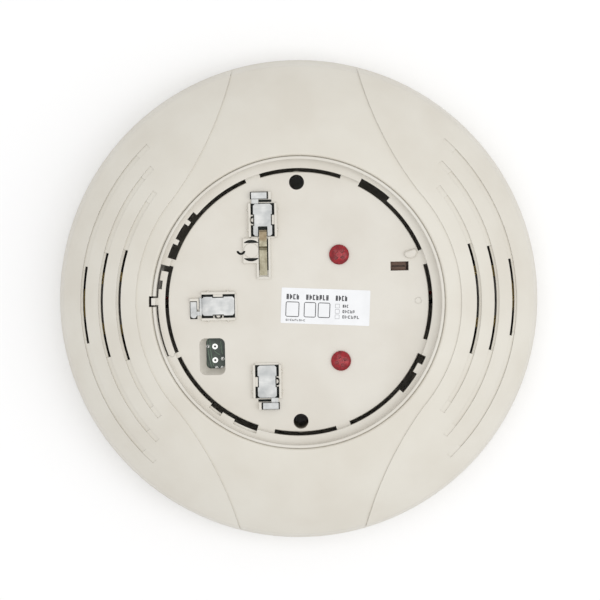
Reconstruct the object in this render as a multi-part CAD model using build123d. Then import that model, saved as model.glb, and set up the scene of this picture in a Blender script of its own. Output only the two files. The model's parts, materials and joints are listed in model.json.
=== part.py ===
from build123d import *
import os
from math import cos, hypot, radians, sin, sqrt

# Sounder base of a ceiling fire detector, lying on its back. A detector head twists into
# the round socket in its face. +Z points out of the face, +Y towards the upper mounting
# hole, and the origin is the centre of the flat rear face. Lengths are in millimetres,
# angles in degrees counted from +X.

# ---- Driving dimensions: housing ------------------------------------------------------
RIM_R = 91.0                # outer radius against the ceiling
HEIGHT = 42.0               # rear face to the top of the socket lip
WALL = 2.4                  # wall of the cover and of the rear cover
SHOULDER_R = 88.4           # where the dome turns down into the skirt
SHOULDER_Z = 17.0
SHOULDER_ROUND = 5.0
DOME_ARC_R = 60.0           # radius of the dome's cross-section
DOME_EDGE_Z = 41.6          # dome height beside the socket lip
WING_RISE = 0.4             # the two wings stand this much proud of the waist between them
WING_INNER_R = 60.5         # round end of a wing, beside the socket
WING_HALF_ANGLE = 41.0      # the round end spans this much each side of the X axis
WING_FLARE_R = 125.0        # reverse curve from the round end out to the rim
WING_END_R = 97.0           # its outline is drawn to this radius, past the rim,
WING_END_ANGLE = 13.2       # and stops this far from the Y axis there
REAR_R = 87.8               # the rear cover sits inside the skirt

# ---- Driving dimensions: sound slits ---------------------------------------------------
SLITS = (                   # mid radius, half angle of the slit, half angle of its groove
    (67.1, 17.8, 38.5),
    (73.9, 15.3, 43.5),
    (80.8, 10.3, 47.0),
)
SLIT_W = 1.9                # slit and sloped ledge together
SLIT_OPEN_W = 0.95          # the part that is open
LEDGE_DROP = 1.4            # depth of the ledge beside the open part
LEDGE_STEP = 0.6            # depth of its outer edge
GROOVE_DEPTH = 0.6
GROOVE_OUTER = 0.75         # depth of its outer wall as a share of the inner wall's
GROOVE_FADE = 4.0           # the last degrees of a groove are half as deep
BEVEL = 1.0                 # the outermost ledge is this many degrees shorter at each end

# ---- Driving dimensions: socket ----------------------------------------------------------
SOCKET_R = 53.0             # bore that takes the detector head
LIP_R = 54.1                # outside of the lip
SEAM = 0.06                 # gap between lip and cover
FLOOR_Z = 36.0
FLOOR_T = 2.0
SHELF_Z = 38.5              # bayonet shelf around the floor
SHELF_T = 2.0
SKIRT_R = 51.8              # inside of the skirt under the shelf
SKIRT_Z = 22.0              # lower edge of the skirt
FLANGE_R = 58.5             # flange that carries the cover's collar
COLLAR_Z = 35.0
SLOT_IN_R = 48.3            # ring slots between floor and shelf
SLOT_OUT_R = 49.7
NOTCH_R = 51.4              # bayonet notches cut into the shelf
NOTCH_LEDGE_R = 50.5        # a stepped notch is open to here, with a ledge outside it
NOTCH_LEDGE_Z = 36.9
RING_SLOTS = (              # start, end, notches as (start, end), stepped outer edge
    (-17.6, 15.6, (), False),
    (22.1, 61.9, ((47.9, 61.9),), False),
    (70.5, 106.1, (), False),
    (112.7, 160.2, ((138.4, 142.4), (144.4, 151.7), (153.9, 160.2)), False),
    (203.9, 250.9, ((228.4, 234.4), (240.4, 250.9)), True),
    (258.4, 285.6, (), False),
    (291.9, 335.7, ((317.9, 327.6), (331.9, 335.7)), False),
)

# ---- Driving dimensions: locking latch -----------------------------------------------------
LATCH_TIP = 166.0           # free end
LATCH_ROOT = 201.4          # the finger bends about this end
LATCH_GAP_END = 163.2
LATCH_WALL_R = 51.9         # wall outside the finger, struck from a centre 1 mm nearer the tip
LATCH_WALL_SHIFT = 1.0
LATCH_NOTCH = (170.0, 173.6, 1.1)           # start, end and depth of the notch in its outer edge
LATCH_IN_R = 49.6
LATCH_OUT_R = 52.15
LATCH_T = 2.0
LATCH_FIT = 0.06
LATCH_KNUCKLE_R = 0.9
LATCH_ROOT_GAP = 0.12       # degrees between the root and the plate
LATCH_FLOOR_Z = 25.0        # depth of the space it moves in
TAB_ANGLE = 178.7           # release tab that reaches out through the lip
TAB_W = 2.6
TAB_R = 54.6
TAB_NOTCH_W = 4.0
TAB_NOTCH_R = 55.5
TAB_Z = 41.2
TAB_NOTCH_LOW = 33.0

# ---- Driving dimensions: contacts ----------------------------------------------------------
CLIPS = {                   # x, y and turn of each contact; its fixed end faces outwards
    "top": (-12.85, 30.7, 0),
    "left": (-29.95, -1.0, 90),
    "bottom": (-12.3, -29.4, 180),
}
LEAF_L = 12.0
LEAF_W = 7.0
LEAF_T = 0.4
LEAF_Z = 37.0               # top of the leaf at its fixed end
LEAF_CROWN = 0.45           # the middle of the leaf bows up this much
WINDOW_L = 12.4
WINDOW_W = 8.8
FRAME_Z = 37.7              # top of the frame walls
FRAME_T = 0.9
STRIP_X = -12.85            # supervision spring
STRIP_W = 2.8
STRIP_T = 0.35
STRIP_LOW_Y = 10.1
STRIP_KNEE_Y = 20.9
STRIP_TIP_Y = 26.9
STRIP_Z = 36.45             # top of the strip at its fixed end
POST = (-17.3, 19.4)        # round post beside the strip
POST_R = 4.0
POST_FLAT = 2.8             # the openings above and below it start this far from its middle
POST_Z = 37.7
POST_BOX_Z = 37.2

# ---- Driving dimensions: mounting and fixing -------------------------------------------------
MOUNT_Y = 44.45             # half of the 3.5 in spacing of a 4 in octagonal box
MOUNT_HOLE_R = 2.8
MOUNT_PILLAR_R = 4.2
FIXING_SCREWS = ((15.3, 17.3), (15.3, -22.2))
FIXING_HEAD_R = 3.7
FIXING_HEAD_H = 1.9
FIXING_SHANK_R = 1.7
FIXING_TURNS = (47, 20)     # how far each cross recess is turned
COVER_SCREW_R = 80.0
COVER_SCREW_ANGLES = (45, 135, 225, 315)

# ---- Driving dimensions: board and sounders ----------------------------------------------------
BOARD_R = 46.5
BOARD_Z = 27.4              # underside of the board
BOARD_T = 1.6
BOARD_POSTS = ((-34.0, 24.0), (34.0, 24.0))
LINK_WINDOW = (-32.5, -19.8)
LINK_PADS = ((-31.6, -16.3), (-31.6, -21.4))
SMALL_PADS = ((-34.15, -16.3), (-28.8, -20.9), (-31.1, -24.3), (-29.0, -24.3))
PAD_T = 0.08
CAPACITORS = ((29, 8), (29, -6))
TRANSFORMER = (28.5, -27.5)
TERMINAL_X = -10.0
TERMINAL_POLES = 4
TERMINAL_PITCH = 7.0
TERMINAL_LOW = 14.4         # underside of the terminal block, towards the back box
TERMINAL_ENTRY = (17.8, 24.2)               # low and high side of the wire entries
SERVICE_WINDOW = (37.7, 12.6, 6.7, 3.35)    # rectangular opening: centre x and y, width, height
SERVICE_TOP = 33.2          # top of the connector behind it
SOUNDER_X = 70.0
SOUNDER_R = 14.0
SOUNDER_TOP = 15.5
PIEZO_Z = 10.0              # underside of the piezo plates
PIEZO_DISC_T = 0.3
PIEZO_CERAMIC_R = 8.5
PIEZO_CERAMIC_T = 0.25
LEAD_R = 0.6
CABLE_OPENING = (-10.0, 0.0, 36.0, 44.0)    # centre x and y, width, height

# ---- Driving dimensions: small marks and the label ------------------------------------------------
DETENT = (41.9, 17.4, 18)   # x, y and turn of the bump beside the ring slots
RING_MARK = (44.4, -0.3, 1.35, 1.05)        # x, y, outer and inner radius of the engraved ring
LABEL = (9.9, -2.0, -3.1)   # x, y and turn
LABEL_SIZE = (33.0, 13.2, 0.12)

BOARD_TOP = BOARD_Z + BOARD_T
FLOOR_LOW = FLOOR_Z - FLOOR_T


# ---- Shapes used by several parts ---------------------------------------------------------------
def polar(radius, angle):
    """Point at a radius and an angle about the Z axis."""
    return (radius * cos(radians(angle)), radius * sin(radians(angle)))


def turned(*outline):
    """Solid of revolution about Z of a closed outline of (radius, height) points."""
    return revolve(make_face(Plane.XZ * Polyline(*outline, close=True)), Axis.Z)


def part_turned(start, end, *outline):
    """The same, turned only from one angle to another."""
    face = make_face(Plane.XZ * Polyline(*outline, close=True))
    return Rot(0, 0, start) * revolve(face, Axis.Z, end - start)


def sector(r_in, r_out, z_low, z_high, start, end):
    """Part of a flat ring."""
    corners = ((r_in, z_low), (r_out, z_low), (r_out, z_high), (r_in, z_high))
    return part_turned(start, end, *corners)


def column(x, y, radius, z_low, z_high):
    """Upright cylinder."""
    return Pos(x, y, z_low) * extrude(Circle(radius), z_high - z_low)


def block(x_low, x_high, y_low, y_high, z_low, z_high):
    """Box given by its six limits."""
    size = (x_high - x_low, y_high - y_low, z_high - z_low)
    centre = ((x_low + x_high) / 2, (y_low + y_high) / 2, (z_low + z_high) / 2)
    return Pos(*centre) * Box(*size)


def round_edges(solid, radius, height, size):
    """Round the circular edges of a turned solid that lie at a radius and a height."""
    found = []
    for edge in solid.edges().filter_by(GeomType.CIRCLE):
        if abs(edge.radius - radius) < 0.01 and abs(edge.arc_center.Z - height) < 0.01:
            found.append(edge)
    return fillet(found, size)


def place(clip):
    """Frame of a contact: local X across it, local Y towards its fixed end."""
    x, y, turn = CLIPS[clip]
    return Pos(x, y, 0) * Rot(0, 0, turn)


def screw(head_r, head_h, shank_r, length, cross=True):
    """Round-headed screw with its seat at z = 0; cross or plain slot in the head."""
    rim = head_h * 0.35
    point_r = shank_r * 0.4
    outline = (
        Line((0, -length), (0, head_h)),
        ThreePointArc((0, head_h), (head_r * 0.62, head_h * 0.84), (head_r, rim)),
        Polyline((head_r, rim), (head_r, 0), (shank_r, 0), (shank_r, shank_r - length)),
        Polyline((shank_r, shank_r - length), (point_r, -length), (0, -length)),
    )
    body = revolve(Plane.XZ * make_face(outline), Axis.Z)
    slot_w = head_r * 0.3
    slot_l = head_r * (1.3 if cross else 2.2)
    depth = head_h * (0.75 if cross else 0.5)
    wing = Pos(0, 0, head_h - depth / 2) * Box(slot_l, slot_w, depth)
    body -= wing
    if cross:
        body -= Rot(0, 0, 90) * wing
        body -= Pos(0, 0, head_h - depth / 2) * Cylinder(slot_w * 0.85, depth)
    return body


# ---- Dome geometry ---------------------------------------------------------------------------------
def arc_centre(start, end, radius):
    """Centre, below the chord, of the arc through two points."""
    chord = hypot(end[0] - start[0], end[1] - start[1])
    reach = sqrt(radius**2 - (chord / 2) ** 2)
    mid_r = (start[0] + end[0]) / 2
    mid_z = (start[1] + end[1]) / 2
    return (
        mid_r + (end[1] - start[1]) / chord * reach,
        mid_z - (end[0] - start[0]) / chord * reach,
    )


DOME_START = (LIP_R + SEAM, DOME_EDGE_Z)
DOME_END = (SHOULDER_R, SHOULDER_Z)
DOME_CENTRE = arc_centre(DOME_START, DOME_END, DOME_ARC_R)


def dome_z(radius, inset=0.0):
    """Height of the waist's dome surface, or of the surface an inset below it."""
    arc = DOME_ARC_R - inset
    return DOME_CENTRE[1] + sqrt(arc**2 - (radius - DOME_CENTRE[0]) ** 2)


def wing_z(radius):
    """Height of the wings' outer surface."""
    return dome_z(radius, -WING_RISE)


def off_dome(inset):
    """Where the dome's end is on a surface this far inside it."""
    share = (DOME_ARC_R - inset) / DOME_ARC_R
    return (
        DOME_CENTRE[0] + (SHOULDER_R - DOME_CENTRE[0]) * share,
        DOME_CENTRE[1] + (SHOULDER_Z - DOME_CENTRE[1]) * share,
    )


def under_arc(start, end, radius, *rest, rounded=None):
    """Turned solid whose top is an arc and whose other corners are given; the arc's end can be rounded."""
    profile = make_face((RadiusArc(start, end, radius), Polyline(end, *rest, start)))
    if rounded:
        corner = profile.vertices().sort_by_distance((*end, 0))[0]
        profile = fillet(corner, rounded)
    return revolve(Plane.XZ * profile, Axis.Z)


# ---- Front cover -------------------------------------------------------------------------------------
def wing_outline():
    """Plan of the right-hand wing: round beside the socket, flaring out towards the rim."""
    near_up = polar(WING_INNER_R, WING_HALF_ANGLE)
    near_down = polar(WING_INNER_R, -WING_HALF_ANGLE)
    far_up = polar(WING_END_R, 90 - WING_END_ANGLE)
    far_down = polar(WING_END_R, WING_END_ANGLE - 90)
    return make_face(
        (
            ThreePointArc(near_down, (WING_INNER_R, 0), near_up),
            RadiusArc(near_up, far_up, WING_FLARE_R),
            ThreePointArc(far_up, (WING_END_R, 0), far_down),
            RadiusArc(far_down, near_down, WING_FLARE_R),
        )
    )


def sound_slit(mid_r, slit_half, groove_half, bevelled):
    """Cutter for one slit with its sloped ledge and the shallow groove that carries on."""
    r_in = mid_r - SLIT_W / 2
    r_open = r_in + SLIT_OPEN_W
    r_out = mid_r + SLIT_W / 2
    above = wing_z(r_in) + 2

    def shallow(depth):
        return (
            (r_in, wing_z(r_in) - depth),
            (r_out, wing_z(r_out) - depth * GROOVE_OUTER),
            (r_out, above),
            (r_in, above),
        )

    deep_half = groove_half - GROOVE_FADE
    ledge_half = slit_half - (BEVEL if bevelled else 0)
    ledge = (
        (r_in, wing_z(r_open) - LEDGE_DROP),
        (r_open, wing_z(r_open) - LEDGE_DROP),
        (r_out, wing_z(r_out) - LEDGE_STEP),
        (r_out, above),
        (r_in, above),
    )
    cutter = part_turned(-groove_half, groove_half, *shallow(GROOVE_DEPTH / 2))
    cutter += part_turned(-deep_half, deep_half, *shallow(GROOVE_DEPTH))
    cutter += part_turned(-ledge_half, ledge_half, *ledge)
    cutter += sector(r_in, r_open, wing_z(r_out) - 8, above, -slit_half, slit_half)
    return cutter


def tab_notch():
    """Cutter for the notch that lets the latch's release tab through lip and cover."""
    half = TAB_NOTCH_W / 2
    notch = block(SOCKET_R - 0.6, TAB_NOTCH_R, -half, half, TAB_NOTCH_LOW, HEIGHT + 2)
    return Rot(0, 0, TAB_ANGLE) * notch


def front_cover():
    inner_arc = DOME_ARC_R - WALL
    collar_r = LIP_R + SEAM + 2.2
    foot = (RIM_R, 0), (DOME_START[0], 0)
    cover = under_arc(DOME_START, DOME_END, DOME_ARC_R, *foot, rounded=SHOULDER_ROUND)
    cover = round_edges(cover, DOME_START[0], DOME_EDGE_Z, 1.0)

    shoulder = off_dome(-WING_RISE)
    top = (WING_INNER_R - 2, wing_z(WING_INNER_R - 2))
    foot = (RIM_R, 0), (top[0], 0)
    high = under_arc(top, shoulder, DOME_ARC_R + WING_RISE, *foot, rounded=SHOULDER_ROUND)
    wing = high & extrude(wing_outline(), HEIGHT + 5)
    cover += wing
    cover += Rot(0, 0, 180) * wing

    hollow = under_arc(
        (collar_r, dome_z(collar_r, WALL)),
        off_dome(WALL),
        inner_arc,
        (RIM_R - WALL, -1),
        (DOME_START[0] - 1, -1),
        (DOME_START[0] - 1, COLLAR_Z),
        (collar_r, COLLAR_Z),
    )
    cover -= hollow
    for angle in COVER_SCREW_ANGLES:
        x, y = polar(COVER_SCREW_R, angle)
        boss = column(x, y, 3.6, WALL + 0.1, dome_z(COVER_SCREW_R + 3.6, WALL) + 0.8)
        cover += boss - column(x, y, 1.4, WALL - 1, 14)
    for side in (0, 180):
        for index, (mid_r, slit_half, groove_half) in enumerate(SLITS):
            outermost = index == len(SLITS) - 1
            cover -= Rot(0, 0, side) * sound_slit(mid_r, slit_half, groove_half, outermost)
    return cover - tab_notch()


# ---- Socket plate --------------------------------------------------------------------------------------
def socket_body():
    """Floor, shelf, lip, skirt and flange as one turned shape."""
    plate = turned(
        (0, FLOOR_Z),
        (SLOT_OUT_R, FLOOR_Z),
        (SLOT_OUT_R, SHELF_Z),
        (SOCKET_R, SHELF_Z),
        (SOCKET_R, HEIGHT),
        (LIP_R, HEIGHT),
        (LIP_R, COLLAR_Z),
        (FLANGE_R, COLLAR_Z),
        (FLANGE_R, COLLAR_Z - 2),
        (LIP_R, COLLAR_Z - 2),
        (LIP_R, SKIRT_Z),
        (SKIRT_R, SKIRT_Z),
        (SKIRT_R, SHELF_Z - SHELF_T),
        (SLOT_OUT_R + 1.2, SHELF_Z - SHELF_T),
        (SLOT_OUT_R + 1.2, FLOOR_LOW),
        (0, FLOOR_LOW),
    )
    plate = round_edges(plate, SLOT_OUT_R, SHELF_Z, 0.3)
    plate = round_edges(plate, SOCKET_R, HEIGHT, 0.35)
    return round_edges(plate, LIP_R, HEIGHT, 0.45)


def ring_slot(start, end, notches, stepped):
    """Cutter for one slot between floor and shelf, with its bayonet notches."""
    low = FLOOR_LOW - 1
    under_shelf = SHELF_Z - SHELF_T
    cutter = part_turned(
        start,
        end,
        (SLOT_IN_R, low),
        (SLOT_IN_R, FLOOR_Z - 0.25),
        (SLOT_IN_R - 0.25, FLOOR_Z),
        (SLOT_IN_R - 0.25, SHELF_Z + 1),
        (SLOT_OUT_R, SHELF_Z + 1),
        (SLOT_OUT_R, under_shelf),
        (SLOT_OUT_R + 1.3, under_shelf),
        (SLOT_OUT_R + 1.3, low),
    )
    steps = ((NOTCH_R, low),)
    if stepped:
        steps = ((NOTCH_LEDGE_R, low), (NOTCH_R, NOTCH_LEDGE_Z))
    for notch_start, notch_end in notches:
        for radius, z_low in steps:
            cutter += sector(SLOT_IN_R + 0.5, radius, z_low, SHELF_Z + 1, notch_start, notch_end)
    return cutter


def latch_gap():
    """Cutters for the space that the locking latch moves in."""
    top = SHELF_Z + 1
    end = LATCH_ROOT + LATCH_ROOT_GAP
    x, y = latch_hinge()
    wall_x, wall_y = polar(LATCH_WALL_SHIFT, LATCH_TIP)
    wall = column(wall_x, wall_y, LATCH_WALL_R, LATCH_FLOOR_Z, top)
    return (
        sector(SLOT_IN_R, SLOT_OUT_R + 0.1, LATCH_FLOOR_Z, top, LATCH_GAP_END, end),
        sector(SLOT_OUT_R, SOCKET_R + 1, LATCH_FLOOR_Z, top, LATCH_GAP_END + 0.3, end) & wall,
        column(x, y, LATCH_KNUCKLE_R + LATCH_FIT, LATCH_FLOOR_Z, top),
        tab_notch(),
    )


def contact_windows(clip):
    """Cutter for the openings in the floor around one contact."""
    low = FLOOR_LOW - 1
    cutter = block(-WINDOW_W / 2, WINDOW_W / 2, -WINDOW_L / 2, WINDOW_L / 2, low, FLOOR_Z + 0.01)
    if clip == "left":
        cutter += block(-4.7, 2.0, 7.8, 10.5, low, FLOOR_Z + 0.01)
    else:
        cutter += block(-4.5, 2.1, 7.7, 10.5, low, FLOOR_Z + 0.01)
        cutter += block(-1.4, 3.4, 6.6, 7.5, low, FLOOR_Z + 0.01)
    return place(clip) * cutter


def contact_frame(clip):
    """Raised walls, stop blocks, snap catch and nibs around one contact."""
    half_w = WINDOW_W / 2
    half_l = WINDOW_L / 2
    frame = block(half_w - 0.95, half_w + 0.3, -1.7, 1.8, FLOOR_LOW, FRAME_Z - 0.4)
    frame += block(-half_w - 0.3, -half_w + 0.95, -1.9, 1.9, FLOOR_LOW, FRAME_Z - 0.9)
    for side in (-1, 1):
        wall = block(0, FRAME_T, -half_l - 0.1, half_l + 0.1, FLOOR_Z - 0.5, FRAME_Z)
        wall = fillet(wall.edges().group_by(Axis.Z)[-1], 0.2)
        frame += Pos(half_w if side > 0 else -half_w - FRAME_T, 0, 0) * wall
        for along in (-3.65, 3.7):
            nib = Pos(side * (half_w + FRAME_T), along, FLOOR_Z - 0.2) * Cone(0.75, 0.35, 1.5)
            frame += Pos(0, 0, 0.75) * nib
    end_wall = block(-half_w, half_w, -half_l - 0.7, -half_l, FLOOR_Z - 0.5, FLOOR_Z + 0.45)
    frame += end_wall
    catch = Pos(-half_w + 0.9, 0, 0) * (
        column(0, 0, 1.5, FLOOR_LOW - 1, FRAME_Z + 1) - column(0, 0, 0.75, FLOOR_LOW - 2, FRAME_Z + 2)
    )
    reach = block(-half_w - 0.35, -half_w + 0.92, -2, 2, FLOOR_LOW - 1, FRAME_Z + 1)
    return place(clip) * (frame - (catch & reach))


def terminal_posts(clip):
    """Walls beside the fixed end of one contact."""
    if clip == "left":
        posts = block(2.0, 2.9, 7.5, 10.6, FLOOR_LOW, 37.6)
        posts += block(-1.1, 2.9, 7.2, 7.8, FLOOR_LOW, 37.6)
    else:
        posts = block(2.3, 3.2, 7.7, 10.4, FLOOR_Z - 0.5, 37.8)
        posts += block(-4.1, -1.4, 6.5, 7.6, FLOOR_Z - 0.5, 36.5)
    return place(clip) * posts


def spring_pocket():
    """Raised box with the round post that the supervision spring is fixed beside."""
    x, y = POST
    low = FLOOR_LOW - 1
    box = block(x - 3.1, x + 2.8, y - 4.8, y + 4.6, FLOOR_Z - 0.5, POST_BOX_Z)
    box = fillet(box.edges().group_by(Axis.Z)[-1], 0.3)
    arcs = column(x, y, POST_R, low, HEIGHT) & block(x - 2.65, x + 2.65, y - 5, y + 5, low, HEIGHT)
    arcs -= block(x - 3, x + 3, y - POST_FLAT, y + POST_FLAT, low, HEIGHT)
    hook_x, hook_y = (x - 3.8, y + 0.1)
    hook = column(hook_x, hook_y, 1.7, low, HEIGHT) - column(hook_x, hook_y, 0.85, low, HEIGHT)
    hook &= block(hook_x - 2, hook_x + 2, hook_y - 2, hook_y - 0.2, low, HEIGHT)
    post = column(x, y, POST_FLAT, FLOOR_LOW, POST_Z)
    post = fillet(post.edges().group_by(Axis.Z)[-1], 0.4)
    return box + post, arcs + hook


def strip_channel():
    """Walls and opening of the channel that the supervision spring lies in."""
    half = STRIP_W / 2
    right = block(STRIP_X + half + 0.5, STRIP_X + half + 1.3, 9.4, 24.2, FLOOR_Z - 0.5, 37.0)
    left = block(STRIP_X - half - 1.1, STRIP_X - half - 0.3, 9.4, 15.0, FLOOR_Z - 0.5, 37.0)
    foot = block(STRIP_X - half - 1.1, STRIP_X + half + 1.3, 8.8, 9.6, FLOOR_Z - 0.5, 36.6)
    opening = block(
        STRIP_X - half - 0.3, STRIP_X + half + 0.5, 12.0, 23.5, FLOOR_LOW - 1, FLOOR_Z + 3
    )
    return right + left + foot, opening


def link_funnel():
    """Thick surround under the small window, and its sloping opening."""
    x, y = LINK_WINDOW
    surround = Pos(x, y, FLOOR_LOW - 3.2) * extrude(RectangleRounded(12.4, 16.6, 2.6), 4.0)
    mouth = Pos(x, y, FLOOR_Z + 0.01) * RectangleRounded(9.5, 13.7, 2.2)
    throat = Pos(x + 1.2, y + 1.1, FLOOR_LOW - 3.3) * RectangleRounded(6.9, 11.3, 1.7)
    return surround, loft([throat, mouth])


def detent_nub():
    """Small D-shaped bump beside the ring slots."""
    outline = Ellipse(2.45, 1.9) - Pos(0, 3.1) * Rectangle(8, 4)
    bump = extrude(outline, 1.6)
    bump = fillet(bump.edges().group_by(Axis.Z)[-1], 0.7)
    x, y, turn = DETENT
    return Pos(x, y, FLOOR_Z - 0.2) * Rot(0, 0, turn) * bump


def socket_plate():
    plate = socket_body()
    for clip in CLIPS:
        plate -= contact_windows(clip)
        plate += contact_frame(clip)
        plate += terminal_posts(clip)
    channel, opening = strip_channel()
    box, slots = spring_pocket()
    surround, funnel = link_funnel()
    plate += channel
    plate += box
    plate -= opening
    plate -= slots
    plate += surround
    plate -= funnel
    plate += detent_nub()

    x, y, width, height = SERVICE_WINDOW
    plate -= Pos(x, y, FLOOR_Z) * Box(width, height, 3 * FLOOR_T)
    x, y, outer, inner = RING_MARK
    mark = column(x, y, outer, FLOOR_Z - 0.15, FLOOR_Z + 1)
    plate -= mark - column(x, y, inner, FLOOR_Z - 1, FLOOR_Z + 2)
    for x, y in FIXING_SCREWS:
        plate += column(x, y, 5.0, BOARD_TOP, FLOOR_LOW + 0.5)
        plate -= column(x, y, 3.55, BOARD_TOP - 1, FLOOR_LOW)
        plate -= column(x, y, FIXING_SHANK_R + 0.2, BOARD_TOP - 1, FLOOR_Z + 1)
    for side in (-1, 1):
        y = side * MOUNT_Y
        plate -= column(0, y, MOUNT_HOLE_R, FLOOR_LOW - 1, FLOOR_Z + 1)

    for start, end, notches, stepped in RING_SLOTS:
        plate -= ring_slot(start, end, notches, stepped)
    for cutter in latch_gap():
        plate -= cutter
    return plate


# ---- Locking latch ------------------------------------------------------------------------------------------
def latch_hinge():
    """Where the latch bends: the middle of its root."""
    return polar((LATCH_IN_R + LATCH_OUT_R) / 2, LATCH_ROOT)


def locking_latch():
    low = SHELF_Z - LATCH_T
    latch = sector(LATCH_IN_R, LATCH_OUT_R, low, SHELF_Z, LATCH_TIP, LATCH_ROOT)
    start, end, depth = LATCH_NOTCH
    latch -= sector(LATCH_OUT_R - depth, LATCH_OUT_R + 1, low - 1, SHELF_Z + 1, start, end)
    x, y = latch_hinge()
    latch += column(x, y, LATCH_KNUCKLE_R, low, SHELF_Z)
    tab = block(LATCH_OUT_R - 0.4, SOCKET_R + 0.15, -TAB_W / 2, TAB_W / 2, low, SHELF_Z)
    tab += block(SOCKET_R + 0.15, TAB_R, -TAB_W / 2, TAB_W / 2, low, TAB_Z)
    return latch + Rot(0, 0, TAB_ANGLE) * tab


# ---- Contacts ------------------------------------------------------------------------------------------------
def contact_leaf(clip):
    """Sprung plate: bowed strip, waisted at its middle, hinged at its outer end."""
    half_l = LEAF_L / 2
    high = LEAF_Z + LEAF_CROWN
    top = ThreePointArc((half_l, LEAF_Z), (0, high), (-half_l, LEAF_Z - 0.3))
    low = ThreePointArc(
        (-half_l, LEAF_Z - 0.3 - LEAF_T), (0, high - LEAF_T), (half_l, LEAF_Z - LEAF_T)
    )
    ends = (
        Line((-half_l, LEAF_Z - 0.3), (-half_l, LEAF_Z - 0.3 - LEAF_T)),
        Line((half_l, LEAF_Z - LEAF_T), (half_l, LEAF_Z)),
    )
    side_view = Plane.YZ * make_face((top, low, *ends))
    leaf = extrude(side_view, LEAF_W / 2, both=True)
    for side in (-1, 1):
        leaf -= Pos(side * (LEAF_W / 2 + 0.2), 0, LEAF_Z) * Box(1.2, 4.2, 4)
        for end in (-1, 1):
            corner = Pos(side * LEAF_W / 2, end * half_l, LEAF_Z) * Rot(0, 0, 45) * Box(1.0, 1.0, 4)
            leaf -= corner
    if clip == "top":
        leaf -= block(-1.75, 1.75, -half_l - 1, -2.4, 30, 40)
    return place(clip) * leaf


def contact_terminal(clip):
    """Fixed end of a contact: strap, folded end tab and the leg soldered to the board."""
    strap_z = LEAF_Z - LEAF_T
    if clip == "left":
        strap = block(-1.4, 3.2, 6.1, 6.9, strap_z, LEAF_Z)
        strap += block(-3.4, -1.9, 6.1, 10.0, strap_z - 0.4, LEAF_Z - 0.4)
        strap += block(-3.4, -1.4, 6.1, 6.9, strap_z - 0.4, LEAF_Z)
        end_tab = block(-3.2, 1.7, 8.0, 10.3, 36.3, 36.8)
        end_tab += column(-3.2, 9.15, 1.15, 36.3, 37.0)
        leg = block(0.2, 1.2, 8.9, 9.3, BOARD_TOP, 36.5)
    else:
        strap = block(-4.0, -1.5, 6.1, 8.0, strap_z, LEAF_Z)
        end_tab = block(-4.1, 1.65, 7.75, 10.4, 37.4, 38.0)
        end_tab = fillet(end_tab.edges().filter_by(Axis.X).group_by(Axis.Z)[-1], 0.35)
        end_tab += block(-4.1, 1.65, 7.75, 8.25, strap_z, 37.6)
        end_tab += block(-4.1, 1.65, 9.9, 10.4, 35.0, 37.6)
        leg = block(-1.7, -0.7, 9.95, 10.35, BOARD_TOP, 35.2)
    return place(clip) * (strap + end_tab + leg)


def supervision_spring():
    """Bent strip from the socket post to the top contact."""
    z = STRIP_Z
    line = Polyline(
        (STRIP_LOW_Y, z),
        (19.4, z + 0.25),
        (20.1, z - 0.05),
        (STRIP_KNEE_Y, z + 1.15),
        (26.2, z + 0.75),
        (STRIP_TIP_Y, z + 1.1),
        (STRIP_TIP_Y + 0.1, z + 1.1 - STRIP_T),
        (26.25, z + 0.75 - STRIP_T),
        (STRIP_KNEE_Y, z + 1.15 - STRIP_T),
        (20.1, z - 0.05 - STRIP_T),
        (19.4, z + 0.25 - STRIP_T),
        (STRIP_LOW_Y, z - STRIP_T),
        close=True,
    )
    return Pos(STRIP_X, 0, 0) * extrude(make_face(Plane.YZ * line), STRIP_W / 2, both=True)


# ---- Rear cover ------------------------------------------------------------------------------------------------
def rear_cover():
    x, y, width, height = CABLE_OPENING
    plate = column(0, 0, REAR_R, 0, WALL)
    plate -= Pos(x, y, -1) * extrude(RectangleRounded(width, height, 5), WALL + 2)
    rim = extrude(RectangleRounded(width + 4, height + 4, 7) - RectangleRounded(width, height, 5), 3)
    plate += Pos(x, y, WALL - 0.2) * rim
    for side in (-1, 1):
        plate += column(0, side * MOUNT_Y, MOUNT_PILLAR_R, WALL - 0.2, FLOOR_LOW)
        plate -= column(0, side * MOUNT_Y, MOUNT_HOLE_R, -1, FLOOR_LOW + 1)
        for x_side in (-1, 1):
            span = sorted((x_side * MOUNT_PILLAR_R * 0.8, x_side * 11.0))
            plate += block(*span, side * MOUNT_Y - 0.8, side * MOUNT_Y + 0.8, WALL - 0.2, 20)
    for px, py in FIXING_SCREWS:
        plate += column(px, py, 5.2, WALL - 0.2, BOARD_Z)
        plate += column(px, py, 3.4, BOARD_Z - 1, FLOOR_LOW)
        plate -= column(px, py, FIXING_SHANK_R + 0.05, 9, FLOOR_LOW + 1)
    for px, py in BOARD_POSTS:
        plate += column(px, py, 3.6, WALL - 0.2, BOARD_Z)
        plate -= column(px, py, 1.3, 17, BOARD_Z + 1)
    for side in (-1, 1):
        ring = column(side * SOUNDER_X, 0, SOUNDER_R + 1.6, WALL - 0.2, WALL + 1.6)
        ring -= column(side * SOUNDER_X, 0, SOUNDER_R + 0.05, WALL, WALL + 3)
        gap = sorted((side * (SOUNDER_X - SOUNDER_R - 4), side * (SOUNDER_X - SOUNDER_R + 3)))
        plate += ring - block(*gap, -5, 5, WALL, WALL + 3)
    for angle in COVER_SCREW_ANGLES:
        sx, sy = polar(COVER_SCREW_R, angle)
        plate -= column(sx, sy, 1.8, -1, WALL + 1)
        plate -= column(sx, sy, 3.4, -1, 1.3)
    return plate


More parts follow.
